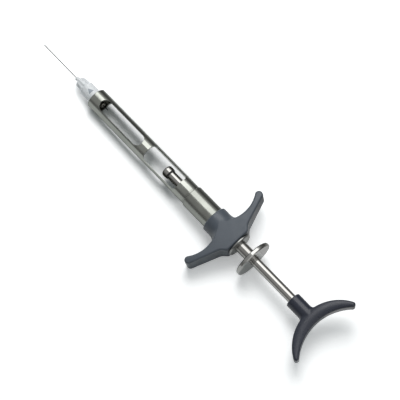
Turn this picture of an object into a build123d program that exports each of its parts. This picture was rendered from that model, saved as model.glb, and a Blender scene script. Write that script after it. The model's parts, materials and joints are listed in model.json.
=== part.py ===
from build123d import *
import math
import os

os.makedirs("parts", exist_ok=True)

# Side-loading dental syringe with a thumb disc, a fitted needle and the plunger partly drawn back.
# Millimetres. X runs along the syringe from the needle towards the palm rest, Z points up and the
# origin is the middle of the barrel's front face. The viewing window is on top, the loading slot
# underneath, and the wings of the finger grip reach along Y.

# Cartridge that the barrel is made for
cartridge_r = 4.325
cartridge_length = 62.0
cartridge_side_play = 0.375
cartridge_end_play = 1.0

# Barrel tube
barrel_wall = 1.3
barrel_front_ring = 6.0
barrel_tail = 6.7
slot_side_play = 0.35
slot_corner_r = 2.5
window_length = 32.8
window_width = 6.9
bridge_length = 5.0
opening_width = 10.2
opening_corner_r = 2.2
rim_chamfer = 0.25

# Nose boss that closes the barrel and carries the needle
nose_plug_length = 3.8
nose_thread_r = 2.9
nose_thread_length = 6.6
nose_thread_chamfer = 0.4
nose_tip_r = 1.7
nose_tip_length = 2.6
nose_tip_chamfer = 0.4
nose_bore_r = 0.45

# Needle, a bevelled tube that reaches forward of the hub and back into the barrel
needle_r = 0.21
needle_lumen_r = 0.11
needle_front_length = 27.8
needle_rear_reach = 3.6
needle_front_bevel = 1.5
needle_rear_bevel = 0.9

# Needle hub
hub_length = 16.0
hub_rear_r = 4.1
hub_rear_length = 7.7
hub_step_length = 0.9
hub_shoulder_r = 3.25
hub_front_r = 2.75
hub_cone_length = 1.5
hub_nose_r = 1.15
hub_nose_length = 1.6
hub_rib_count = 10
hub_rib_width = 0.55
hub_rib_height = 0.35
hub_seat_gap = 0.05
hub_thread_play = 0.08

# Rear housing, pressed into the barrel and threaded at the back for the end nut
housing_r = 6.55
housing_step_chamfer = 0.3
housing_neck_length = 1.2
housing_body_length = 17.0
housing_spigot_length = 4.6
housing_spigot_wall = 0.6
housing_web_offset = 2.1
housing_web_thickness = 3.0
housing_tail_r = 5.6
housing_tail_recess = 0.6

# Sleeve that slides in the housing, and the cup on its front end that presses the cartridge
sleeve_r = 3.25
sleeve_exposed = 8.4
sleeve_play = 0.08
cup_play = 0.1
cup_rim_length = 1.6
cup_barrel_r = 4.3
cup_gap_to_slot = 0.6
cup_mouth_play = 0.3
cup_mouth_depth = 4.6
cup_floor = 0.5
rod_play = 0.08
stop_gap = 0.1

# Rubber ring in the cup that holds the rod by friction
friction_ring_width = 0.7
friction_ring_play = 0.03

# Return spring, washer and retaining ring
spring_wire_r = 0.3
spring_wire_sides = 6
spring_mean_r = 3.95
spring_turns = 6
spring_length = 15.2
washer_r = 4.5
washer_thickness = 0.7
ring_r = 4.2
ring_thickness = 0.8
ring_groove_depth = 0.22
ring_mouth_angle = 50.0

# Finger grip
grip_length = 19.05
collar_r = 7.65
collar_chamfer = 0.5
collar_fillet_r = 5.0
wing_front_offset = 10.1
finger_hollow_overlap = 4.0
wing_half_span = 27.0
wing_tip_r = 2.1
wing_rear_root_offset = 16.2
wing_rear_root_y = 10.0
wing_rear_blend_r = 6.0
hub_flat_y = 7.3
hub_corner_r = 2.0
wing_tip_half_height = 6.5
wing_edge_r = 1.1
grip_bore_play = 0.08

# End nut and the washer under it
end_nut_r = 7.2
end_nut_flange = 0.9
end_nut_chamfer = 0.4
end_nut_spigot_length = 6.0
end_nut_thread_play = 0.05
lock_washer_r = 6.9
lock_washer_thickness = 0.4

# Thumb disc
disc_r = 11.0
disc_thickness = 2.3
disc_rim_chamfer = 0.45

# Plunger rod, its screwed tip and the rubber ring behind the tip
rod_r = 2.55
rod_out = 28.1
tip_drawn_back = 12.4
tip_r = 3.2
tip_length = 3.5
tip_dome_r = 1.3
tip_stud_r = 1.5
tip_stud_length = 2.4
tip_thread_play = 0.04
bumper_r = 2.9
bumper_width = 0.9
bumper_chamfer = 0.2
bumper_groove_r = 2.0

# Palm rest and its threaded insert
socket_r = 4.3
socket_length = 10.35
socket_chamfer = 0.5
palm_front_arc_r = 24.0
palm_rear_arc_r = 28.0
palm_thickness = 6.9
palm_height = 9.0
palm_crown_r = 7.0
palm_tip_r = 1.45
palm_edge_r = 1.3
palm_blend_r = 2.4
insert_wall = 0.9
insert_length = 9.5
insert_recess = 0.6
insert_groove_width = 2.0
insert_groove_depth = 0.35
insert_play = 0.05

# Radii and places along X that follow from the sizes above
bore_r = cartridge_r + cartridge_side_play
barrel_r = bore_r + barrel_wall
spigot_r = bore_r + housing_spigot_wall
slot_width = 2 * (cartridge_r + slot_side_play)
slot_start = barrel_front_ring
slot_end = slot_start + cartridge_length + cartridge_end_play
window_end = slot_start + window_length
opening_start = window_end + bridge_length
barrel_end = slot_end + barrel_tail
housing_start = barrel_end - housing_spigot_length
step_x = barrel_end + housing_neck_length
grip_front = step_x + housing_body_length
grip_rear = grip_front + grip_length
wing_front = grip_front + wing_front_offset
finger_hollow_y = wing_half_span / 2
finger_hollow_r = finger_hollow_y + finger_hollow_overlap
tail_end = grip_rear - housing_tail_recess
web_front = barrel_end + housing_web_offset
web_rear = web_front + housing_web_thickness
nut_front = grip_rear + lock_washer_thickness
nut_rear = nut_front + end_nut_flange
nut_spigot_r = bore_r - end_nut_thread_play
nut_spigot_start = nut_front - end_nut_spigot_length
disc_front = nut_rear + sleeve_exposed
disc_rear = disc_front + disc_thickness
rod_hole_r = rod_r + rod_play
cup_front = slot_end + cup_gap_to_slot
cup_rear = web_front - stop_gap
cup_mouth_end = cup_front + cup_mouth_depth
friction_seat_start = cup_mouth_end + cup_floor
sleeve_front = friction_seat_start + friction_ring_width
spring_start = web_rear + stop_gap
spring_end = spring_start + spring_length
washer_front = spring_end + stop_gap
ring_front = washer_front + washer_thickness
tip_front = slot_end - tip_drawn_back
tip_rear = tip_front + tip_length
rod_front = tip_rear + bumper_width
stud_front = tip_rear - tip_stud_length
socket_front = disc_rear + rod_out
palm_front = socket_front + socket_length
palm_rear = palm_front + palm_thickness
insert_front = socket_front + insert_recess
insert_rear = insert_front + insert_length
insert_bore_r = rod_r + insert_play
insert_r = insert_bore_r + insert_wall
hub_rear = -hub_seat_gap
hub_front = hub_rear - hub_length
needle_tip = hub_front - needle_front_length
nose_tip_end = nose_plug_length + nose_tip_length
needle_end = nose_tip_end + needle_rear_reach
well_past = 2 * barrel_r


def cylinder(radius, start, end):
    """A solid cylinder on the syringe axis from start to end."""
    return extrude(Plane(origin=(start, 0, 0), z_dir=(1, 0, 0)) * Circle(radius), end - start)


def ring(outer_r, inner_r, start, end):
    """A plain ring on the syringe axis from start to end."""
    return cylinder(outer_r, start, end) - cylinder(inner_r, start, end)


def turned(*corners):
    """A solid turned about the syringe axis from (x, radius) corners."""
    return revolve(make_face(Polyline(*corners, close=True)), Axis.X, 360)


def rim(part, x):
    """The widest circular edge of a turned part in the plane at x."""
    circles = part.edges().filter_by(GeomType.CIRCLE)
    return circles.filter_by_position(Axis.X, x - 0.001, x + 0.001).sort_by(SortBy.RADIUS)[-1]


def lying_edges(part):
    """The edges of an upright prism that don't run up its walls."""
    return part.edges().filter_by(lambda edge: abs(edge.tangent_at(0.5).Z) < 0.9)


def nearest_corner(outline, x, y):
    """The corner of a plan outline that lies nearest to a point."""
    return outline.vertices().sort_by(lambda corner: (corner.X - x) ** 2 + (corner.Y - y) ** 2)[0]


def rounded_window(start, end, width, corner_r):
    """Plan outline of an opening in the tube from start to end."""
    return Pos((start + end) / 2, 0) * RectangleRounded(end - start, width, corner_r)


def make_barrel_tube():
    tube = cylinder(barrel_r, 0, barrel_end)
    tube = chamfer(rim(tube, 0), rim_chamfer)
    tube -= cylinder(bore_r, 0, barrel_end)
    tube -= cylinder(spigot_r, housing_start, barrel_end)
    window = Pos((slot_start + window_end) / 2, 0) * SlotOverall(window_length, window_width)
    opening = rounded_window(opening_start, slot_end, opening_width, opening_corner_r)
    slot = rounded_window(slot_start, slot_end, slot_width, slot_corner_r)
    return tube - extrude(window + opening, well_past) - extrude(slot, -well_past)


def make_nose_boss():
    stud = cylinder(nose_thread_r, -nose_thread_length, nose_plug_length)
    stud = chamfer(rim(stud, -nose_thread_length), nose_thread_chamfer)
    tip = cylinder(nose_tip_r, 0, nose_tip_end)
    tip = chamfer(rim(tip, nose_tip_end), nose_tip_chamfer)
    boss = cylinder(bore_r, 0, nose_plug_length) + stud + tip
    return boss - cylinder(nose_bore_r, -nose_thread_length, nose_tip_end)


def make_needle_cannula():
    tube = ring(needle_r, needle_lumen_r, needle_tip, needle_end)
    front_wedge = Polyline((needle_tip, needle_r), (needle_tip, -needle_r),
                           (needle_tip + needle_front_bevel, needle_r), close=True)
    rear_wedge = Polyline((needle_end, needle_r), (needle_end, -needle_r),
                          (needle_end - needle_rear_bevel, needle_r), close=True)
    for wedge in (front_wedge, rear_wedge):
        tube -= extrude(Plane.XZ * make_face(wedge), 2 * needle_r, both=True)
    return tube


def make_needle_hub():
    wide_start = hub_rear - hub_rear_length
    shoulder = wide_start - hub_step_length
    cone_start = hub_front + hub_nose_length
    cone_end = cone_start + hub_cone_length
    hub = turned((hub_front, 0), (hub_front, hub_nose_r), (cone_start, hub_nose_r),
                 (cone_end, hub_front_r), (shoulder, hub_shoulder_r), (wide_start, hub_rear_r),
                 (hub_rear - rim_chamfer, hub_rear_r), (hub_rear, hub_rear_r - rim_chamfer), (hub_rear, 0))
    rib = make_face(Polyline((cone_start, 0), (cone_start, hub_nose_r),
                             (cone_end, hub_front_r + hub_rib_height),
                             (shoulder, hub_shoulder_r + hub_rib_height), (shoulder, 0), close=True))
    rib = extrude(Plane.XZ * rib, hub_rib_width / 2, both=True)
    for i in range(hub_rib_count):
        hub += rib.rotate(Axis.X, i * 360 / hub_rib_count)
    hub -= cylinder(nose_thread_r + hub_thread_play, -nose_thread_length - hub_thread_play, hub_rear)
    return hub - cylinder(needle_r, hub_front, hub_rear)


def make_rear_housing():
    housing = turned((housing_start, 0), (housing_start, spigot_r), (barrel_end, spigot_r),
                     (barrel_end, barrel_r), (step_x, barrel_r),
                     (step_x, housing_r - housing_step_chamfer), (step_x + housing_step_chamfer, housing_r),
                     (grip_front, housing_r), (grip_front, housing_tail_r), (tail_end, housing_tail_r),
                     (tail_end, 0))
    housing -= cylinder(bore_r, housing_start, web_front)
    housing -= cylinder(bore_r, web_rear, tail_end)
    return housing - cylinder(sleeve_r + sleeve_play, web_front, web_rear)


def make_sleeve_tube():
    tube = ring(sleeve_r, rod_hole_r, sleeve_front, disc_rear)
    return tube - ring(sleeve_r, sleeve_r - ring_groove_depth, ring_front, ring_front + ring_thickness)


def make_pressure_cup():
    rim_end = cup_front + cup_rim_length
    cup_r = bore_r - cup_play
    cup = turned((cup_front, 0), (cup_front, cup_r - rim_chamfer), (cup_front + rim_chamfer, cup_r),
                 (rim_end, cup_r), (rim_end, cup_barrel_r), (cup_rear, cup_barrel_r), (cup_rear, 0))
    cup -= cylinder(tip_r + cup_mouth_play, cup_front, cup_mouth_end)
    cup -= cylinder(rod_hole_r, cup_mouth_end, friction_seat_start)
    return cup - cylinder(sleeve_r, friction_seat_start, cup_rear)


def make_rod_friction_ring():
    return ring(sleeve_r, rod_r + friction_ring_play, friction_seat_start, sleeve_front)


def make_return_spring():
    height = spring_length - 2 * spring_wire_r
    coil = Helix(pitch=height / spring_turns, height=height, radius=spring_mean_r)
    section = Plane(origin=coil @ 0, z_dir=coil % 0) * RegularPolygon(spring_wire_r, spring_wire_sides)
    wire = sweep(section, path=coil, is_frenet=True)
    return Pos(spring_start + spring_wire_r, 0, 0) * Rot(0, 90, 0) * wire


def make_thrust_washer():
    return ring(washer_r, sleeve_r + sleeve_play, washer_front, washer_front + washer_thickness)


def make_retaining_ring():
    snap_ring = ring(ring_r, sleeve_r - ring_groove_depth, ring_front, ring_front + ring_thickness)
    half_angle = math.radians(ring_mouth_angle / 2)
    reach = 2 * ring_r
    side_y = reach * math.sin(half_angle)
    side_z = -reach * math.cos(half_angle)
    mouth = make_face(Polyline((0, 0), (side_y, side_z), (-side_y, side_z), close=True))
    across = Plane(origin=(ring_front, 0, 0), x_dir=(0, 1, 0), z_dir=(1, 0, 0))
    return snap_ring - extrude(across * mouth, ring_thickness)


def wing_outline():
    """Plan outline of both wings: finger hollows in front, round tips, and a straight line behind."""
    hollow = Vector(wing_front - finger_hollow_r, finger_hollow_y)
    hollow_to_tip = finger_hollow_r + wing_tip_r
    tip_rise = wing_half_span - wing_tip_r - finger_hollow_y
    tip = hollow + Vector(math.sqrt(hollow_to_tip ** 2 - tip_rise ** 2), tip_rise)
    on_hollow = hollow + (tip - hollow) * (finger_hollow_r / hollow_to_tip)
    root = Vector(grip_front + wing_rear_root_offset, wing_rear_root_y)
    to_tip = tip - root
    rear_angle = math.atan2(to_tip.Y, to_tip.X) - math.asin(wing_tip_r / to_tip.length)
    tip_normal = Vector(math.sin(rear_angle), -math.cos(rear_angle)) * wing_tip_r
    on_rear = tip + tip_normal
    tip_end = tip + Vector(0, wing_tip_r)
    middle = hollow + Vector(math.sqrt(finger_hollow_r ** 2 - hollow.Y ** 2), -hollow.Y)
    front_apex = (wing_front, finger_hollow_y)
    half = make_face([
        Line((grip_rear, 0), middle), ThreePointArc(middle, front_apex, on_hollow),
        ThreePointArc(on_hollow, tip_end, on_rear), Line(on_rear, root),
        Line(root, (grip_rear, hub_flat_y)), Line((grip_rear, hub_flat_y), (grip_rear, 0))])
    half = fillet(nearest_corner(half, root.X, root.Y), wing_rear_blend_r)
    half = fillet(nearest_corner(half, grip_rear, hub_flat_y), hub_corner_r)
    return half + mirror(half, about=Plane.XZ)


def crowned_slab():
    """The space between the grip's crowned top and bottom faces."""
    top = ThreePointArc((-wing_half_span, wing_tip_half_height), (0, collar_r),
                        (wing_half_span, wing_tip_half_height))
    bottom = ThreePointArc((wing_half_span, -wing_tip_half_height), (0, -collar_r),
                           (-wing_half_span, -wing_tip_half_height))
    section = make_face([top, Line(top @ 1, bottom @ 0), bottom, Line(bottom @ 1, top @ 0)])
    across = Plane(origin=(grip_front, 0, 0), x_dir=(0, 1, 0), z_dir=(1, 0, 0))
    return extrude(across * section, grip_length)


def collar_flare():
    """The trumpet that carries the round collar out into the wings."""
    start = wing_front - collar_fillet_r
    end = wing_front + wing_edge_r
    outer_r = collar_r + collar_fillet_r
    reach = collar_fillet_r * math.sin(math.pi / 4)
    curve = ThreePointArc((start, collar_r), (start + reach, outer_r - reach), (wing_front, outer_r))
    return revolve(make_face([
        Line((start, 0), (start, collar_r)), curve, Line((wing_front, outer_r), (end, outer_r)),
        Line((end, outer_r), (end, 0)), Line((end, 0), (start, 0))]), Axis.X, 360)


def make_finger_grip():
    slab = crowned_slab()
    wings = extrude(wing_outline(), 2 * collar_r, both=True) & slab
    wings = fillet(lying_edges(wings), wing_edge_r)
    collar = cylinder(collar_r, grip_front, wing_front)
    collar = chamfer(rim(collar, grip_front), collar_chamfer)
    grip = wings + (collar_flare() & slab) + collar
    return grip - cylinder(housing_tail_r + grip_bore_play, grip_front, grip_rear)


def make_lock_washer():
    return ring(lock_washer_r, nut_spigot_r + grip_bore_play, grip_rear, nut_front)


def make_end_nut():
    flange = cylinder(end_nut_r, nut_front, nut_rear)
    flange = chamfer(rim(flange, nut_rear), end_nut_chamfer)
    nut = flange + cylinder(nut_spigot_r, nut_spigot_start, nut_front)
    return nut - cylinder(sleeve_r + sleeve_play, nut_spigot_start, nut_rear)


def make_thumb_disc():
    disc = cylinder(disc_r, disc_front, disc_rear)
    disc = chamfer([rim(disc, disc_front), rim(disc, disc_rear)], disc_rim_chamfer)
    return disc - cylinder(sleeve_r, disc_front, disc_rear)


def make_plunger_rod():
    neck = cylinder(bumper_groove_r, tip_rear, rod_front)
    return cylinder(rod_r, rod_front, insert_rear) + neck + cylinder(tip_stud_r, stud_front, tip_rear)


def make_plunger_tip():
    tip = cylinder(tip_r, tip_front, tip_rear)
    tip = fillet(rim(tip, tip_front), tip_dome_r)
    return tip - cylinder(tip_stud_r + tip_thread_play, stud_front - tip_thread_play, tip_rear)


def make_bumper_ring():
    bumper = cylinder(bumper_r, tip_rear, rod_front)
    bumper = chamfer([rim(bumper, tip_rear), rim(bumper, rod_front)], bumper_chamfer)
    return bumper - cylinder(bumper_groove_r, tip_rear, rod_front)


def palm_outline():
    """Plan outline of the crescent: two arcs joined by round horn tips."""
    front_centre = Vector(palm_front + palm_front_arc_r, 0)
    rear_centre = Vector(palm_rear + palm_rear_arc_r, 0)
    between = rear_centre.X - front_centre.X
    front_reach = palm_front_arc_r - palm_tip_r
    rear_reach = palm_rear_arc_r + palm_tip_r
    tip_offset = (between ** 2 + front_reach ** 2 - rear_reach ** 2) / (2 * between)
    tip = front_centre + Vector(tip_offset, math.sqrt(front_reach ** 2 - tip_offset ** 2))
    on_front = front_centre + (tip - front_centre) * (palm_front_arc_r / front_reach)
    on_rear = rear_centre + (tip - rear_centre) * (palm_rear_arc_r / rear_reach)
    chord = (on_rear - on_front).normalized()
    horn_end = tip + Vector(-chord.Y, chord.X) * palm_tip_r
    front_low, rear_low, end_low = (Vector(point.X, -point.Y) for point in (on_front, on_rear, horn_end))
    return make_face([ThreePointArc(front_low, (palm_front, 0), on_front),
                      ThreePointArc(on_front, horn_end, on_rear),
                      ThreePointArc(on_rear, (palm_rear, 0), rear_low),
                      ThreePointArc(rear_low, end_low, front_low)])


def palm_dome():
    """A ring with domed top and bottom that follows the middle of the crescent's bar."""
    middle = palm_front + palm_thickness / 2
    centre = middle + (palm_front_arc_r + palm_rear_arc_r) / 2
    reach = 0.75 * palm_thickness
    shoulder = palm_height / 2 - palm_crown_r + math.sqrt(palm_crown_r ** 2 - reach ** 2)
    top = ThreePointArc((middle - reach, shoulder), (middle, palm_height / 2), (middle + reach, shoulder))
    bottom = ThreePointArc((middle + reach, -shoulder), (middle, -palm_height / 2),
                           (middle - reach, -shoulder))
    section = make_face([top, Line(top @ 1, bottom @ 0), bottom, Line(bottom @ 1, top @ 0)])
    return revolve(Plane.XZ * section, Axis((centre, 0, 0), (0, 0, 1)), 360)


def insert_blank():
    """The outside of the threaded insert, with the groove that holds it in the palm rest."""
    middle = (insert_front + insert_rear) / 2
    groove = ring(insert_r, insert_r - insert_groove_depth,
                  middle - insert_groove_width / 2, middle + insert_groove_width / 2)
    return cylinder(insert_r, insert_front, insert_rear) - groove


def make_palm_rest():
    crescent = extrude(palm_outline(), palm_height / 2, both=True) & palm_dome()
    crescent = fillet(lying_edges(crescent), palm_edge_r)
    socket = cylinder(socket_r, socket_front, palm_front + palm_thickness / 2)
    socket = chamfer(rim(socket, socket_front), socket_chamfer)
    rest = crescent + socket
    seam = rest.edges().filter_by(GeomType.BSPLINE).filter_by(
        lambda edge: abs(edge.center().X - palm_front) < palm_edge_r and abs(edge.center().Y) < 2 * socket_r)
    rest = fillet(seam, palm_blend_r)
    return rest - insert_blank() - cylinder(insert_bore_r, socket_front, insert_rear)


def make_palm_insert():
    return insert_blank() - cylinder(insert_bore_r, insert_front, insert_rear)


makers = {
    "needle_cannula": make_needle_cannula,
    "needle_hub": make_needle_hub,
    "nose_boss": make_nose_boss,
    "barrel_tube": make_barrel_tube,
    "rear_housing": make_rear_housing,
    "pressure_cup": make_pressure_cup,
    "rod_friction_ring": make_rod_friction_ring,
    "sleeve_tube": make_sleeve_tube,
    "return_spring": make_return_spring,
    "thrust_washer": make_thrust_washer,
    "retaining_ring": make_retaining_ring,
    "finger_grip": make_finger_grip,
    "lock_washer": make_lock_washer,
    "end_nut": make_end_nut,
    "thumb_disc": make_thumb_disc,
    "plunger_tip": make_plunger_tip,
    "bumper_ring": make_bumper_ring,
    "plunger_rod": make_plunger_rod,
    "palm_rest": make_palm_rest,
    "palm_insert": make_palm_insert,
}

for name, make in makers.items():
    export_step(make(), f"parts/{name}.step")
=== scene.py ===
"""Looks of a side-loading dental syringe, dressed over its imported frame."""

import json
import math

import bmesh
import bpy
from bpy.props import FloatProperty, FloatVectorProperty, IntProperty, PointerProperty
from mathutils import Matrix, Vector

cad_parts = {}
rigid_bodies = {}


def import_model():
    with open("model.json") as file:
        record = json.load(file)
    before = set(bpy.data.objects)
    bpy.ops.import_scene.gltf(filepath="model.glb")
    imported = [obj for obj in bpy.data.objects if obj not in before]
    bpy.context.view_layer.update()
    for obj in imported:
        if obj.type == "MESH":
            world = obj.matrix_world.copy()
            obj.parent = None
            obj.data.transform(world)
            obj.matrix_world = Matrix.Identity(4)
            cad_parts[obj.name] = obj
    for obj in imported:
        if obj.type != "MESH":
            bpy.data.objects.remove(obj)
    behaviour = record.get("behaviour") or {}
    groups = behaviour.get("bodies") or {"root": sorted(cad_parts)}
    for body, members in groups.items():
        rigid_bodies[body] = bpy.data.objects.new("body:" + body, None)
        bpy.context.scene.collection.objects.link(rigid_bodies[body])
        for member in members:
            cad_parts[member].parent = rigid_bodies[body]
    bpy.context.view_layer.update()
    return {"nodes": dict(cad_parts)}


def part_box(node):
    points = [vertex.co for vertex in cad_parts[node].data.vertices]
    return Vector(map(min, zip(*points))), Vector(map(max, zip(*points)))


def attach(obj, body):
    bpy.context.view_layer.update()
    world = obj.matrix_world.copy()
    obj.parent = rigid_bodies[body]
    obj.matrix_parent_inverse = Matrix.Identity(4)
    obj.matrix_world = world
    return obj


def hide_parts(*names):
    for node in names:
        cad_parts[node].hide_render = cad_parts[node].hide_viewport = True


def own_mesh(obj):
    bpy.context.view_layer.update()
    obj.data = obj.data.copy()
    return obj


bl_info = {
    "name": "Dental Syringe Looks",
    "version": (1, 0, 0),
    "blender": (4, 5, 0),
    "location": "View3D > Sidebar > Syringe",
    "description": "Finishes, thread, hub mark and plain studio of a dental syringe",
    "category": "Object",
}

for leftover in list(bpy.data.objects):
    bpy.data.objects.remove(leftover)
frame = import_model()
nodes = frame["nodes"]

MM = 0.001

# Colours of the small and the hidden pieces
# The needle's steel is coloured near black: painted shade, so the thin needle shows as a dark line
# against the pale floor
NEEDLE_PAINTED_DARK = (0.03, 0.03, 0.032, 1)
NUT_STEEL = (0.32, 0.325, 0.315, 1)
# The nose boss is steel, coloured darker and browner than the other steel as painted shade for the
# dark front end of the window
NOSE_STEEL_PAINTED_SHADE = (0.28, 0.27, 0.24, 1)
WASHER_STEEL = (0.45, 0.46, 0.47, 1)
BLUED_STEEL = (0.16, 0.17, 0.20, 1)
SPRING_STEEL = (0.42, 0.43, 0.45, 1)
BRASS = (0.62, 0.48, 0.22, 1)
FIBRE = (0.035, 0.035, 0.038, 1)

# The rear section is this much darker than the barrel
SATIN_SHADE = 0.86

# How many times longer than wide the drawn grain of a metal is
SHORT_GRAIN = 1
DRAWN_GRAIN = 60
ROD_GRAIN = 90

# Stretch of a noise that runs alike in all directions
EVEN = (1, 1, 1)

# Faces that meet at more than this keep a sharp edge between them
SHARP_ANGLE = math.radians(35)

# Thread: steps in a turn, then half width of its foot and crest as shares of the pitch, and how
# deep the foot sinks into the core as a share of the thread's depth
THREAD_STEPS = 48
THREAD_FOOT = 0.42
THREAD_CREST = 0.06
THREAD_SUNK = 0.3

# Hub mark: the triangle's corner distance and corner rounding as shares of its length
MARK_RADIUS = 0.6
MARK_ROUNDING = 0.08

# Grey levels of the tent that shows in the metal, by the angle in degrees from straight up towards
# the far side. Past 90 lies the strip that reaches in under the far side of the syringe.
TENT_SHADES = (
    (-88, 0.50), (-76, 0.34), (-66, 0.22), (-56, 0.34), (-44, 0.50), (-10, 0.56), (2, 0.58),
    (62, 0.9), (66, 0.42), (74, 0.36), (84, 0.20), (92, 0.12), (98, 0.14), (104, 0.32),
    (110, 0.5), (116, 0.62))
TENT_RADIUS = 0.55
TENT_HALF_LENGTH = 1.6
TENT_SPANS = ((-90, 3), (63, 90))
TENT_STEP = 3

# Inner edges of the strip, as (y, z), and where the deeper one beside the rod begins along x
STRIP_EDGE = (0.015, -0.0075)
ROD_STRIP_EDGE = (0.006, -0.009)
ROD_STRIP_START = 0.112

# Painted light on the floor paper: none within GLOW_START of the line under the windows, so the
# shade there stays dark; full from GLOW_END on, where it lifts the syringe's shadow
WINDOWS_MIDDLE = 0.034
WINDOWS_HALF_LENGTH = 0.030
GLOW_START = 0.0045
GLOW_END = 0.012
GLOW = 0.32
GLOW_IN_REFLECTIONS = 0.2

# Lamps: place and size
LAMP_AIM = (0.07, 0, 0)
SOFTBOX_PLACE = (-0.05, 0.37, 0.66)
SOFTBOX_SIZE = (0.55, 0.66)
KEY_PLACE = (-0.20, 0.36, 0.68)
KEY_SIZE = (0.4, 0.4)

PAPER = (0.95, 0.95, 0.95, 1)
FLOOR_HALF_SIZE = 3
FLOOR_CELLS = 24

# Tint and full tone of the surroundings
WHITE = (1, 1, 1, 1)
COOL_WHITE = (0.86, 0.98, 1.0, 1)


class SyringeFinishes(bpy.types.PropertyGroup):
    """Colours and polish of the syringe's surfaces."""

    nickel_color: FloatVectorProperty(
        name="Nickel", description="Plated barrel, rear section and pressure cup",
        subtype="COLOR", size=4, min=0, max=1, default=(0.325, 0.336, 0.307, 1))
    nickel_roughness: FloatProperty(
        name="Nickel Roughness", description="Satin of the barrel's plating",
        subtype="FACTOR", min=0, max=1, default=0.13)
    polished_color: FloatVectorProperty(
        name="Polished Steel", description="Plunger rod, its tip and the sleeve",
        subtype="COLOR", size=4, min=0, max=1, default=(0.35, 0.345, 0.33, 1))
    disc_color: FloatVectorProperty(
        name="Turned Steel", description="Thumb disc",
        subtype="COLOR", size=4, min=0, max=1, default=(0.38, 0.38, 0.365, 1))
    moulding_color: FloatVectorProperty(
        name="Dark Moulding", description="Finger grip",
        subtype="COLOR", size=4, min=0, max=1, default=(0.070, 0.083, 0.101, 1))
    palm_color: FloatVectorProperty(
        name="Palm Rest", description="Darker moulding of the palm rest",
        subtype="COLOR", size=4, min=0, max=1, default=(0.016, 0.020, 0.034, 1))
    moulding_roughness: FloatProperty(
        name="Moulding Roughness", description="Satin of the finger grip",
        subtype="FACTOR", min=0, max=1, default=0.36)
    hub_color: FloatVectorProperty(
        name="Hub", description="Milky plastic of the needle hub",
        subtype="COLOR", size=4, min=0, max=1, default=(0.82, 0.835, 0.85, 1))
    mark_color: FloatVectorProperty(
        name="Hub Mark", description="Small triangle on the hub",
        subtype="COLOR", size=4, min=0, max=1, default=(0.36, 0.39, 0.43, 1))
    rubber_color: FloatVectorProperty(
        name="Rubber", description="Bumper ring and friction ring",
        subtype="COLOR", size=4, min=0, max=1, default=(0.020, 0.020, 0.022, 1))


class SyringeThread(bpy.types.PropertyGroup):
    """Thread that carries the needle hub."""

    pitch: FloatProperty(
        name="Pitch", description="Advance of the thread in one turn",
        subtype="DISTANCE", unit="LENGTH", min=0.0002, default=0.8 * MM, precision=5)
    depth: FloatProperty(
        name="Depth", description="Height of the thread over its core",
        subtype="DISTANCE", unit="LENGTH", min=0.0001, default=0.38 * MM, precision=5)
    turns: IntProperty(
        name="Turns", description="Whole turns of thread on the nose", min=1, default=6)


class SyringeMark(bpy.types.PropertyGroup):
    """Triangle mark moulded on the needle hub."""

    length: FloatProperty(
        name="Length", description="Size of the mark along the syringe",
        subtype="DISTANCE", unit="LENGTH", min=0.0005, default=3.2 * MM, precision=5)
    middle: FloatProperty(
        name="Middle", description="Distance from the barrel's front face to the mark's middle",
        subtype="DISTANCE", unit="LENGTH", min=0, default=3.5 * MM, precision=5)
    height: FloatProperty(
        name="Height", description="How far the mark stands proud of the hub",
        subtype="DISTANCE", unit="LENGTH", min=0, default=0.04 * MM, precision=6)


class SyringeStudio(bpy.types.PropertyGroup):
    """Camera, lamps and surroundings."""

    aim: FloatVectorProperty(
        name="Aim", description="Point in the middle of the picture",
        subtype="TRANSLATION", unit="LENGTH", size=3, default=(0.08162, 0.00170, 0))
    distance: FloatProperty(
        name="Distance", description="From the aim to the camera",
        subtype="DISTANCE", unit="LENGTH", min=0.1, default=0.63937)
    turn: FloatProperty(
        name="Turn", description="Camera's turn about the upright axis",
        subtype="ANGLE", unit="ROTATION", default=math.radians(67.04))
    tilt: FloatProperty(
        name="Tilt", description="Camera's lean away from looking straight down",
        subtype="ANGLE", unit="ROTATION", default=math.radians(16.42))
    roll: FloatProperty(
        name="Roll", description="Camera's turn about its own line of sight",
        subtype="ANGLE", unit="ROTATION", default=math.radians(-20.47))
    view_width: FloatProperty(
        name="View Angle", description="Angle that the picture spans",
        subtype="ANGLE", unit="ROTATION", default=math.radians(18.605))
    softbox_radiance: FloatProperty(
        name="Softbox", description="Brightness of the large lamp that shows in the metal",
        min=0, default=2.0)
    key_radiance: FloatProperty(
        name="Key", description="Brightness of the smaller lamp that throws the shadow",
        min=0, default=6.9)
    ambient: FloatProperty(
        name="Ambient", description="Brightness of the surroundings on matt surfaces",
        subtype="FACTOR", min=0, max=2, default=0.22)


def add_node(tree, kind, **settings):
    """A shader node, with its named settings or inputs filled in."""
    node = tree.nodes.new(kind)
    for name, value in settings.items():
        if name in node.inputs:
            node.inputs[name].default_value = value
        else:
            setattr(node, name, value)
    return node


def start_material(name, color, **inputs):
    """A new node material, its tree and its main shader."""
    material = bpy.data.materials.new(name)
    material.use_nodes = True
    tree = material.node_tree
    shader = tree.nodes["Principled BSDF"]
    shader.inputs["Base Color"].default_value = color
    for socket, value in inputs.items():
        shader.inputs[socket.replace("_", " ")].default_value = value
    return material, tree, shader


def surface_noise(tree, stretch, scale, detail=3.0):
    """Noise over the surface, with its grain stretched by the three factors along the axes."""
    place = add_node(tree, "ShaderNodeTexCoord")
    mapping = add_node(tree, "ShaderNodeMapping", Scale=stretch)
    noise = add_node(tree, "ShaderNodeTexNoise", Scale=scale, Detail=detail, Roughness=0.6)
    tree.links.new(place.outputs["Object"], mapping.inputs["Vector"])
    tree.links.new(mapping.outputs["Vector"], noise.inputs["Vector"])
    return noise.outputs["Fac"]


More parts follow.
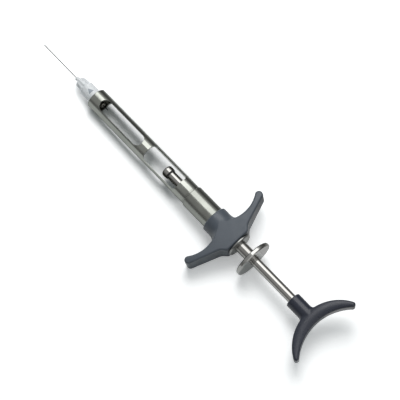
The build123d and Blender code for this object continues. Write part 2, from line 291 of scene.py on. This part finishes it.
def ring_noise(tree, scale):
    """Noise that runs in rings about the syringe's axis, as a lathe tool leaves it."""
    place = add_node(tree, "ShaderNodeTexCoord")
    split = add_node(tree, "ShaderNodeSeparateXYZ")
    across = add_node(tree, "ShaderNodeCombineXYZ")
    radius = add_node(tree, "ShaderNodeVectorMath", operation="LENGTH")
    rings = add_node(tree, "ShaderNodeCombineXYZ")
    noise = add_node(tree, "ShaderNodeTexNoise", Scale=scale, Detail=3.0, Roughness=0.65)
    tree.links.new(place.outputs["Object"], split.inputs["Vector"])
    tree.links.new(split.outputs["Y"], across.inputs["Y"])
    tree.links.new(split.outputs["Z"], across.inputs["Z"])
    tree.links.new(across.outputs["Vector"], radius.inputs[0])
    tree.links.new(radius.outputs["Value"], rings.inputs["X"])
    tree.links.new(split.outputs["X"], rings.inputs["Y"])
    tree.links.new(rings.outputs["Vector"], noise.inputs["Vector"])
    return noise.outputs["Fac"]


def spread(tree, source, low, high):
    """The middle of a noise, spread between two values."""
    ranged = add_node(tree, "ShaderNodeMapRange", clamp=True)
    for socket, value in (("From Min", 0.3), ("From Max", 0.7), ("To Min", low), ("To Max", high)):
        ranged.inputs[socket].default_value = value
    tree.links.new(source, ranged.inputs["Value"])
    return ranged.outputs["Result"]


def tint(tree, shader, source, color, shade):
    """Base colour that drifts between a colour and a darker shade of it."""
    mix = add_node(tree, "ShaderNodeMix", data_type="RGBA")
    mix.inputs[6].default_value = color
    mix.inputs[7].default_value = [channel * shade for channel in color[:3]] + [1]
    tree.links.new(spread(tree, source, 0, 1), mix.inputs[0])
    tree.links.new(mix.outputs[2], shader.inputs["Base Color"])


def roughen(tree, shader, source, low, high):
    """Roughness that follows a noise."""
    tree.links.new(spread(tree, source, low, high), shader.inputs["Roughness"])


def relief(tree, shader, source, height, strength=1.0):
    """Fine relief of the given height on the surface."""
    bump = add_node(tree, "ShaderNodeBump", Strength=strength, Distance=height)
    tree.links.new(source, bump.inputs["Height"])
    tree.links.new(bump.outputs["Normal"], shader.inputs["Normal"])


def plated_metal(name, color, roughness, grain=DRAWN_GRAIN, shade=0.8, rim=0.7):
    """Plated metal with a faint drawn grain along the syringe, soft stains and handling marks.

    shade is the stains' share of the colour, and rim how bright the metal gets at its outline."""
    material, tree, shader = start_material(
        name, color, Metallic=1.0, Roughness=roughness, Specular_Tint=(rim, rim, rim, 1))
    stains = surface_noise(tree, EVEN, 110)
    wipes = surface_noise(tree, (0.25, 3, 3), 420, 5)
    drawn = surface_noise(tree, (1 / grain, 1, 1), 5200, 2)
    tint(tree, shader, stains, color, shade)
    roughen(tree, shader, wipes, roughness * 0.75, roughness * 1.35)
    relief(tree, shader, drawn, 0.0012 * MM, 0.5)
    return material


def turned_metal(name, color, roughness, shade=0.78, height=0.003 * MM):
    """Metal with lathe marks in rings about the axis."""
    material, tree, shader = start_material(name, color, Metallic=1.0, Roughness=roughness)
    rings = ring_noise(tree, 2600)
    stains = surface_noise(tree, EVEN, 140)
    tint(tree, shader, stains, color, shade)
    roughen(tree, shader, rings, roughness * 0.8, roughness * 1.4)
    relief(tree, shader, rings, height, 0.6)
    return material


def dark_moulding(name, color, roughness):
    """Satin moulded plastic with a fine eggshell grain, faint flow shading and rubbed patches."""
    material, tree, shader = start_material(name, color, Roughness=roughness, IOR=1.5)
    flow = surface_noise(tree, EVEN, 70)
    rubbed = surface_noise(tree, EVEN, 260, 4)
    grain = surface_noise(tree, EVEN, 3800, 2)
    tint(tree, shader, flow, color, 0.82)
    roughen(tree, shader, rubbed, roughness * 0.85, roughness * 1.25)
    relief(tree, shader, grain, 0.006 * MM, 0.45)
    return material


def milky_plastic(name, color):
    """Translucent moulded plastic."""
    material, tree, shader = start_material(
        name, color, Roughness=0.3, IOR=1.5, Transmission_Weight=0.15)
    flow = surface_noise(tree, (0.4, 1, 1), 300)
    grain = surface_noise(tree, EVEN, 2400, 2)
    tint(tree, shader, flow, color, 0.9)
    roughen(tree, shader, flow, 0.24, 0.4)
    relief(tree, shader, grain, 0.004 * MM, 0.4)
    return material


def moulded_rubber(name, color):
    """Dull black rubber with a fine bloom."""
    material, tree, shader = start_material(name, color, Roughness=0.6, IOR=1.52)
    bloom = surface_noise(tree, EVEN, 900, 4)
    tint(tree, shader, bloom, color, 0.6)
    roughen(tree, shader, bloom, 0.5, 0.75)
    relief(tree, shader, bloom, 0.01 * MM, 0.5)
    return material


def inlay(name, color):
    """Matt coloured inlay of the hub mark."""
    material, tree, shader = start_material(name, color, Roughness=0.5, IOR=1.5)
    fleck = surface_noise(tree, EVEN, 1500, 3)
    tint(tree, shader, fleck, color, 0.8)
    roughen(tree, shader, fleck, 0.42, 0.6)
    return material


def dress(material, *names):
    """Gives CAD nodes a material."""
    for name in names:
        nodes[name].data.materials.clear()
        nodes[name].data.materials.append(material)


def finished_object(context, name, bm, material, body):
    """Turns a bmesh into a smooth-shaded object of the syringe that rides on a body."""
    bmesh.ops.recalc_face_normals(bm, faces=bm.faces)
    mesh = bpy.data.meshes.new(name)
    bm.to_mesh(mesh)
    bm.free()
    mesh.materials.append(material)
    mesh.shade_smooth()
    mesh.set_sharp_from_angle(angle=SHARP_ANGLE)
    piece = bpy.data.objects.new(name, mesh)
    context.scene.collection.objects.link(piece)
    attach(piece, body)
    return piece


def lathe(bm, corners, steps=96):
    """Spins a closed outline of (x, radius) corners about the syringe's axis."""
    points = [bm.verts.new((x, 0, radius)) for x, radius in corners]
    outline = [bm.edges.new(pair) for pair in zip(points, points[1:] + points[:1])]
    bmesh.ops.spin(
        bm, geom=points + outline, cent=(0, 0, 0), axis=(1, 0, 0), angle=math.tau,
        steps=steps, use_merge=True)
    bmesh.ops.remove_doubles(bm, verts=bm.verts, dist=1e-7)


class SYRINGE_OT_metals(bpy.types.Operator):
    """Give the barrel, rods, rings and other metal pieces their finishes"""

    bl_idname = "object.syringe_metals"
    bl_label = "Dress Metal Pieces"

    def execute(self, context):
        looks = context.scene.syringe_finishes
        nickel = looks.nickel_color
        steel = looks.polished_color
        satin = [channel * SATIN_SHADE for channel in nickel[:3]] + [1]
        dress(plated_metal("nickel_plate", nickel, looks.nickel_roughness), "barrel_tube")
        dress(plated_metal("satin_plate", satin, 0.2), "rear_housing")
        dress(plated_metal("sleeve_plate", steel, 0.14), "sleeve_tube")
        dress(plated_metal("polished_rod", steel, 0.06, ROD_GRAIN, 0.93), "plunger_rod")
        dress(plated_metal("polished_tip", steel, 0.1, SHORT_GRAIN, 0.9), "plunger_tip")
        # Painted shade: the needle's near-black colour
        dress(plated_metal("drawn_needle", NEEDLE_PAINTED_DARK, 0.3, rim=0.15), "needle_cannula")
        dress(turned_metal("turned_disc", looks.disc_color, 0.14), "thumb_disc")
        dress(turned_metal("turned_nut", NUT_STEEL, 0.3), "end_nut")
        dress(turned_metal("turned_cup", nickel, 0.22), "pressure_cup")
        dress(turned_metal("plain_washer", WASHER_STEEL, 0.3), "thrust_washer")
        dress(plated_metal("blued_ring", BLUED_STEEL, 0.35), "retaining_ring")
        dress(plated_metal("spring_wire", SPRING_STEEL, 0.28, SHORT_GRAIN), "return_spring")
        dress(turned_metal("turned_brass", BRASS, 0.24), "palm_insert")
        self.seat_spring()
        return {"FINISHED"}

    def seat_spring(self):
        """Gives the spring a mesh of its own."""
        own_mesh(nodes["return_spring"])


class SYRINGE_OT_mouldings(bpy.types.Operator):
    """Give the finger grip, palm rest, hub, rubber rings and fibre washer their finishes"""

    bl_idname = "object.syringe_mouldings"
    bl_label = "Dress Mouldings"

    def execute(self, context):
        looks = context.scene.syringe_finishes
        moulding = dark_moulding("satin_moulding", looks.moulding_color, looks.moulding_roughness)
        dress(moulding, "finger_grip")
        dress(dark_moulding("palm_moulding", looks.palm_color, 0.27), "palm_rest")
        dress(milky_plastic("milky_hub", looks.hub_color), "needle_hub")
        rubber = moulded_rubber("black_rubber", looks.rubber_color)
        dress(rubber, "bumper_ring", "rod_friction_ring")
        dress(dark_moulding("fibre_washer", FIBRE, 0.6), "lock_washer")
        return {"FINISHED"}


class SYRINGE_OT_nose(bpy.types.Operator):
    """Build the nose boss with the thread that carries the needle hub"""

    bl_idname = "object.syringe_nose"
    bl_label = "Build Threaded Nose"

    def execute(self, context):
        thread = context.scene.syringe_thread
        low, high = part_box("nose_boss")
        bore_r = 0.45 * MM
        crest_r = 2.9 * MM
        core_r = crest_r - thread.depth
        plug_r = high.y
        plug_end = 3.8 * MM
        tip_r = 1.7 * MM
        edge = 0.4 * MM
        undercut = 0.5 * MM
        bm = bmesh.new()
        lathe(bm, (
            (low.x, bore_r), (low.x, core_r - edge), (low.x + edge, core_r), (-undercut, core_r),
            (0, core_r), (0, plug_r), (plug_end, plug_r), (plug_end, tip_r),
            (high.x - edge, tip_r), (high.x, tip_r - edge), (high.x, bore_r)))
        self.cut_thread(bm, thread, core_r, crest_r, -undercut - thread.pitch)
        # Steel with painted shade: darker and browner than the other steel
        steel = turned_metal("turned_nose", NOSE_STEEL_PAINTED_SHADE, 0.25)
        piece = finished_object(context, "nose_boss_threaded", bm, steel, "barrel")
        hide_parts("nose_boss")
        return {"FINISHED"}

    def cut_thread(self, bm, thread, core_r, crest_r, start):
        """A helical ridge whose ends run out into the core."""
        half = thread.pitch * THREAD_FOOT
        sunk = core_r - thread.depth * THREAD_SUNK
        flat = thread.pitch * THREAD_CREST
        section = (
            (start + half, sunk), (start + flat, crest_r),
            (start - flat, crest_r), (start - half, sunk))
        points = [bm.verts.new((x, 0, radius)) for x, radius in section]
        outline = [bm.edges.new(pair) for pair in zip(points, points[1:] + points[:1])]
        before = set(bm.verts)
        bmesh.ops.spin(
            bm, geom=points + outline, cent=(0, 0, 0), axis=(1, 0, 0),
            angle=math.tau * thread.turns, dvec=(-thread.pitch / THREAD_STEPS, 0, 0),
            steps=THREAD_STEPS * thread.turns, use_merge=False)
        ridge = [vert for vert in bm.verts if vert not in before] + points
        for vert in ridge:
            travel = (start - vert.co.x) / (thread.pitch * thread.turns)
            fade = min(1, max(0, min(travel, 1 - travel) * thread.turns * 2))
            radius = math.hypot(vert.co.y, vert.co.z)
            if radius > core_r:
                vert.co.yz = vert.co.yz * ((core_r + (radius - core_r) * fade) / radius)
        bmesh.ops.holes_fill(bm, edges=[edge for edge in bm.edges if edge.is_boundary], sides=4)


class SYRINGE_OT_mark(bpy.types.Operator):
    """Build the small triangle on top of the needle hub"""

    bl_idname = "object.syringe_mark"
    bl_label = "Build Hub Mark"

    def execute(self, context):
        mark = context.scene.syringe_mark
        looks = context.scene.syringe_finishes
        _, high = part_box("needle_hub")
        hub_r = high.y
        turn = Matrix.Rotation(math.pi / 2, 3, "Z")
        bm = bmesh.new()
        bmesh.ops.create_circle(
            bm, cap_ends=True, segments=3, radius=mark.length * MARK_RADIUS)
        bmesh.ops.rotate(bm, verts=bm.verts, cent=(0, 0, 0), matrix=turn)
        bmesh.ops.bevel(
            bm, geom=bm.verts[:], offset=mark.length * MARK_ROUNDING, affect="VERTICES",
            segments=3, profile=0.5, material=-1)
        bmesh.ops.triangulate(bm, faces=bm.faces)
        bmesh.ops.subdivide_edges(bm, edges=bm.edges, cuts=4, use_grid_fill=True)
        bmesh.ops.solidify(bm, geom=bm.faces[:], thickness=mark.height * 2)
        top = max(vert.co.z for vert in bm.verts)
        for vert in bm.verts:
            angle = vert.co.y / hub_r
            radius = hub_r + mark.height - (top - vert.co.z)
            vert.co = Vector((
                vert.co.x - mark.middle, math.sin(angle) * radius, math.cos(angle) * radius))
        material = inlay("hub_inlay", looks.mark_color)
        finished_object(context, "hub_mark", bm, material, "needle")
        return {"FINISHED"}


class SYRINGE_OT_studio(bpy.types.Operator):
    """Set the camera, the floor the syringe lies on, the lamps and the surroundings"""

    bl_idname = "scene.syringe_studio"
    bl_label = "Set Up Studio"

    def execute(self, context):
        studio = context.scene.syringe_studio
        self.set_camera(context, studio)
        self.lay_floor(context)
        self.pitch_tent(context)
        self.hang_lamps(context, studio)
        self.light_world(context, studio)
        context.scene.view_settings.view_transform = "Standard"
        return {"FINISHED"}

    def set_camera(self, context, studio):
        """The camera, at the photograph's viewing angle."""
        data = bpy.data.cameras.new("studio_camera")
        data.lens_unit = "FOV"
        data.angle = studio.view_width
        data.clip_start = 0.01
        data.clip_end = 10
        camera = bpy.data.objects.new("studio_camera", data)
        turn = Matrix.Rotation(studio.turn, 4, "Z") @ Matrix.Rotation(studio.tilt, 4, "X")
        turn = turn @ Matrix.Rotation(studio.roll, 4, "Z")
        back = turn.to_3x3() @ Vector((0, 0, 1))
        spot = Vector(studio.aim) + back * studio.distance
        camera.matrix_world = Matrix.Translation(spot) @ turn
        context.scene.collection.objects.link(camera)
        context.scene.camera = camera

    def resting_plane(self):
        """A point and the upward normal of the table that the barrel, disc and one wing touch."""
        barrel_low, barrel_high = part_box("barrel_tube")
        disc_low, disc_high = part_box("thumb_disc")
        slope = (disc_high.z - barrel_high.z) / ((disc_low.x + disc_high.x) / 2 - barrel_low.x)
        grip = nodes["finger_grip"]
        rolls = []
        for vert in grip.data.vertices:
            spot = grip.matrix_world @ vert.co
            reach = math.hypot(spot.y, spot.z)
            drop = barrel_high.z + slope * (spot.x - barrel_low.x)
            if reach > drop:
                rolls.append(math.asin(drop / reach) - math.atan2(abs(spot.z), abs(spot.y)))
        roll = min(rolls)
        normal = Vector((slope, math.sin(roll), math.cos(roll)))
        radius = barrel_high.z
        point = Vector((barrel_low.x, -radius * math.sin(roll), -radius * math.cos(roll)))
        return point, normal.normalized()

    def lay_floor(self, context):
        """A pale floor that stays near white and keeps the syringe's shadow; painted light lifts
        that shadow away from the barrel's windows.
        """
        point, normal = self.resting_plane()
        tilt = normal.to_track_quat("Z", "Y").to_matrix()
        bm = bmesh.new()
        bmesh.ops.create_grid(
            bm, x_segments=FLOOR_CELLS, y_segments=FLOOR_CELLS, size=FLOOR_HALF_SIZE)
        bmesh.ops.rotate(bm, verts=bm.verts, cent=(0, 0, 0), matrix=tilt)
        bmesh.ops.translate(bm, verts=bm.verts, vec=point)
        mesh = bpy.data.meshes.new("studio_floor")
        bm.to_mesh(mesh)
        bm.free()
        material, tree, shader = start_material("floor_paper", PAPER, Roughness=0.9)
        shader.inputs["Specular IOR Level"].default_value = 0.1
        path = add_node(tree, "ShaderNodeLightPath")
        seen = add_node(tree, "ShaderNodeMath", operation="MAXIMUM")
        seen_too = add_node(tree, "ShaderNodeMath", operation="MAXIMUM")
        # Painted light on the floor: seen by the camera, dimmer in reflections, kept off the shade
        # under the windows
        glow = add_node(tree, "ShaderNodeMath", operation="MULTIPLY")
        tree.links.new(self.painted_light_off_barrel(tree), glow.inputs[1])
        dimmed = add_node(tree, "ShaderNodeMath", operation="MULTIPLY")
        dimmed.inputs[1].default_value = GLOW_IN_REFLECTIONS
        tree.links.new(path.outputs["Is Glossy Ray"], dimmed.inputs[0])
        tree.links.new(path.outputs["Is Camera Ray"], seen.inputs[0])
        tree.links.new(dimmed.outputs[0], seen.inputs[1])
        tree.links.new(seen.outputs[0], seen_too.inputs[0])
        tree.links.new(path.outputs["Is Transmission Ray"], seen_too.inputs[1])
        tree.links.new(seen_too.outputs[0], glow.inputs[0])
        shader.inputs["Emission Color"].default_value = WHITE
        tree.links.new(glow.outputs[0], shader.inputs["Emission Strength"])
        mesh.materials.append(material)
        floor = bpy.data.objects.new("studio_floor", mesh)
        context.scene.collection.objects.link(floor)

    def painted_light_off_barrel(self, tree):
        """Painted light on the paper: none under the barrel's windows, where the shade stays dark,
        full from GLOW_END away, where it lifts the shadow.
        """
        place = add_node(tree, "ShaderNodeTexCoord")
        split = add_node(tree, "ShaderNodeSeparateXYZ")
        shift = add_node(tree, "ShaderNodeMath", operation="SUBTRACT")
        shift.inputs[1].default_value = WINDOWS_MIDDLE
        far = add_node(tree, "ShaderNodeMath", operation="ABSOLUTE")
        past = add_node(tree, "ShaderNodeMath", operation="SUBTRACT")
        past.inputs[1].default_value = WINDOWS_HALF_LENGTH
        beyond = add_node(tree, "ShaderNodeMath", operation="MAXIMUM")
        beyond.inputs[1].default_value = 0
        offset = add_node(tree, "ShaderNodeCombineXYZ")
        distance = add_node(tree, "ShaderNodeVectorMath", operation="LENGTH")
        level = add_node(tree, "ShaderNodeMapRange", interpolation_type="SMOOTHSTEP")
        level.inputs["From Min"].default_value = GLOW_START
        level.inputs["From Max"].default_value = GLOW_END
        level.inputs["To Min"].default_value = 0.0
        level.inputs["To Max"].default_value = GLOW
        tree.links.new(place.outputs["Object"], split.inputs["Vector"])
        tree.links.new(split.outputs["X"], shift.inputs[0])
        tree.links.new(shift.outputs[0], far.inputs[0])
        tree.links.new(far.outputs[0], past.inputs[0])
        tree.links.new(past.outputs[0], beyond.inputs[0])
        tree.links.new(beyond.outputs[0], offset.inputs["X"])
        tree.links.new(split.outputs["Y"], offset.inputs["Y"])
        tree.links.new(offset.outputs["Vector"], distance.inputs[0])
        tree.links.new(distance.outputs["Value"], level.inputs["Value"])
        return level.outputs["Result"]

    def reflection_only(self, context, name, bm, color):
        """A glowing surface that shows in reflections only, coloured by what color(tree) gives."""
        mesh = bpy.data.meshes.new(name)
        bm.to_mesh(mesh)
        bm.free()
        mesh.shade_smooth()
        material = bpy.data.materials.new(name)
        material.use_nodes = True
        tree = material.node_tree
        tree.nodes.remove(tree.nodes["Principled BSDF"])
        glow = add_node(tree, "ShaderNodeEmission", Strength=1.0)
        tree.links.new(color(tree), glow.inputs["Color"])
        tree.links.new(glow.outputs["Emission"], tree.nodes["Material Output"].inputs["Surface"])
        material.cycles.emission_sampling = "NONE"
        mesh.materials.append(material)
        surface = bpy.data.objects.new(name, mesh)
        surface.visible_camera = False
        surface.visible_diffuse = False
        surface.visible_shadow = False
        surface.visible_transmission = False
        context.scene.collection.objects.link(surface)

    def tent_shades(self, tree):
        """Grey levels round the tent, by the angle from straight up towards the far side."""
        place = add_node(tree, "ShaderNodeTexCoord")
        split = add_node(tree, "ShaderNodeSeparateXYZ")
        angle = add_node(tree, "ShaderNodeMath", operation="ARCTAN2")
        along = add_node(tree, "ShaderNodeMapRange", clamp=True)
        along.inputs["From Min"].default_value = -math.pi
        along.inputs["From Max"].default_value = math.pi
        ramp = add_node(tree, "ShaderNodeValToRGB")
        elements = ramp.color_ramp.elements
        while len(elements) < len(TENT_SHADES):
            elements.new(0.5)
        for element, (degrees, level) in zip(elements, TENT_SHADES):
            element.position = degrees / 360 + 0.5
            element.color = (level, level, level, 1)
        tree.links.new(place.outputs["Object"], split.inputs["Vector"])
        tree.links.new(split.outputs["Y"], angle.inputs[0])
        tree.links.new(split.outputs["Z"], angle.inputs[1])
        tree.links.new(angle.outputs[0], along.inputs["Value"])
        tree.links.new(along.outputs["Result"], ramp.inputs["Fac"])
        return ramp.outputs["Color"]

    def pitch_tent(self, context):
        """A grey tent that shapes the reflections in the metal, open where the softbox shows.

        On the far side it goes on under the syringe as a strip, which is deeper beside the rod."""
        bm = bmesh.new()
        ends = (-TENT_HALF_LENGTH, TENT_HALF_LENGTH)
        for start, end in TENT_SPANS:
            steps = (end - start) // TENT_STEP
            rows = []
            for i in range(steps + 1):
                angle = math.radians(start + (end - start) * i / steps)
                across = (TENT_RADIUS * math.sin(angle), TENT_RADIUS * math.cos(angle))
                rows.append([bm.verts.new((x, *across)) for x in ends])
            if end == 90:
                rows.append([bm.verts.new((x, *STRIP_EDGE)) for x in ends])
            for near, far in zip(rows, rows[1:]):
                bm.faces.new((near[0], near[1], far[1], far[0]))
        bm.faces.new([bm.verts.new(corner) for corner in (
            (ROD_STRIP_START, *STRIP_EDGE), (TENT_HALF_LENGTH, *STRIP_EDGE),
            (TENT_HALF_LENGTH, *ROD_STRIP_EDGE), (ROD_STRIP_START, *ROD_STRIP_EDGE))])
        self.reflection_only(context, "reflection_tent", bm, self.tent_shades)

    def hang_lamp(self, context, name, place, size, radiance):
        """A square or oblong lamp that faces the syringe's middle."""
        data = bpy.data.lights.new(name, "AREA")
        data.shape = "RECTANGLE"
        data.size, data.size_y = size
        data.energy = radiance * math.pi * size[0] * size[1]
        lamp = bpy.data.objects.new(name, data)
        place = Vector(place)
        turn = (place - Vector(LAMP_AIM)).to_track_quat("Z", "Y")
        lamp.matrix_world = Matrix.Translation(place) @ turn.to_matrix().to_4x4()
        context.scene.collection.objects.link(lamp)
        return lamp

    def hang_lamps(self, context, studio):
        """A softbox that shows in the metal, and a smaller lamp that only lights and shades."""
        self.hang_lamp(context, "softbox", SOFTBOX_PLACE, SOFTBOX_SIZE, studio.softbox_radiance)
        key = self.hang_lamp(context, "key_lamp", KEY_PLACE, KEY_SIZE, studio.key_radiance)
        key.visible_glossy = False

    def light_world(self, context, studio):
        """White where camera, metal and plastic look, a dimmer and cooler fill for the rest."""
        world = bpy.data.worlds.new("studio_world")
        world.use_nodes = True
        tree = world.node_tree
        background = tree.nodes["Background"]
        tone = add_node(tree, "ShaderNodeMix", data_type="RGBA")
        tone.inputs[6].default_value = COOL_WHITE
        tone.inputs[7].default_value = WHITE
        tree.links.new(tone.outputs[2], background.inputs["Color"])
        path = add_node(tree, "ShaderNodeLightPath")
        seen = add_node(tree, "ShaderNodeMath", operation="MAXIMUM")
        seen_too = add_node(tree, "ShaderNodeMath", operation="MAXIMUM")
        level = add_node(tree, "ShaderNodeMapRange")
        level.inputs["To Min"].default_value = studio.ambient
        level.inputs["To Max"].default_value = 1
        tree.links.new(path.outputs["Is Camera Ray"], seen.inputs[0])
        tree.links.new(path.outputs["Is Glossy Ray"], seen.inputs[1])
        tree.links.new(seen.outputs[0], seen_too.inputs[0])
        tree.links.new(path.outputs["Is Transmission Ray"], seen_too.inputs[1])
        tree.links.new(seen_too.outputs[0], level.inputs["Value"])
        tree.links.new(seen_too.outputs[0], tone.inputs[0])
        tree.links.new(level.outputs["Result"], background.inputs["Strength"])
        context.scene.world = world


class SYRINGE_PT_panel(bpy.types.Panel):
    """Buttons and settings for the syringe's looks"""

    bl_idname = "SYRINGE_PT_panel"
    bl_label = "Dental Syringe"
    bl_space_type = "VIEW_3D"
    bl_region_type = "UI"
    bl_category = "Syringe"

    def draw(self, context):
        for operator in operators:
            self.layout.operator(operator.bl_idname)
        for holder, group in settings.items():
            box = self.layout.box()
            for name in group.__annotations__:
                box.prop(getattr(context.scene, holder), name)


operators = (
    SYRINGE_OT_metals,
    SYRINGE_OT_mouldings,
    SYRINGE_OT_nose,
    SYRINGE_OT_mark,
    SYRINGE_OT_studio,
)
settings = {
    "syringe_finishes": SyringeFinishes,
    "syringe_thread": SyringeThread,
    "syringe_mark": SyringeMark,
    "syringe_studio": SyringeStudio,
}


def register():
    for holder, group in settings.items():
        bpy.utils.register_class(group)
        setattr(bpy.types.Scene, holder, PointerProperty(type=group))
    for item in (*operators, SYRINGE_PT_panel):
        bpy.utils.register_class(item)


def unregister():
    for item in (*operators, SYRINGE_PT_panel):
        bpy.utils.unregister_class(item)
    for holder, group in settings.items():
        delattr(bpy.types.Scene, holder)
        bpy.utils.unregister_class(group)


def main():
    register()
    bpy.ops.object.syringe_metals()
    bpy.ops.object.syringe_mouldings()
    bpy.ops.object.syringe_nose()
    bpy.ops.object.syringe_mark()
    bpy.ops.scene.syringe_studio()


if __name__ == "__main__":
    main()
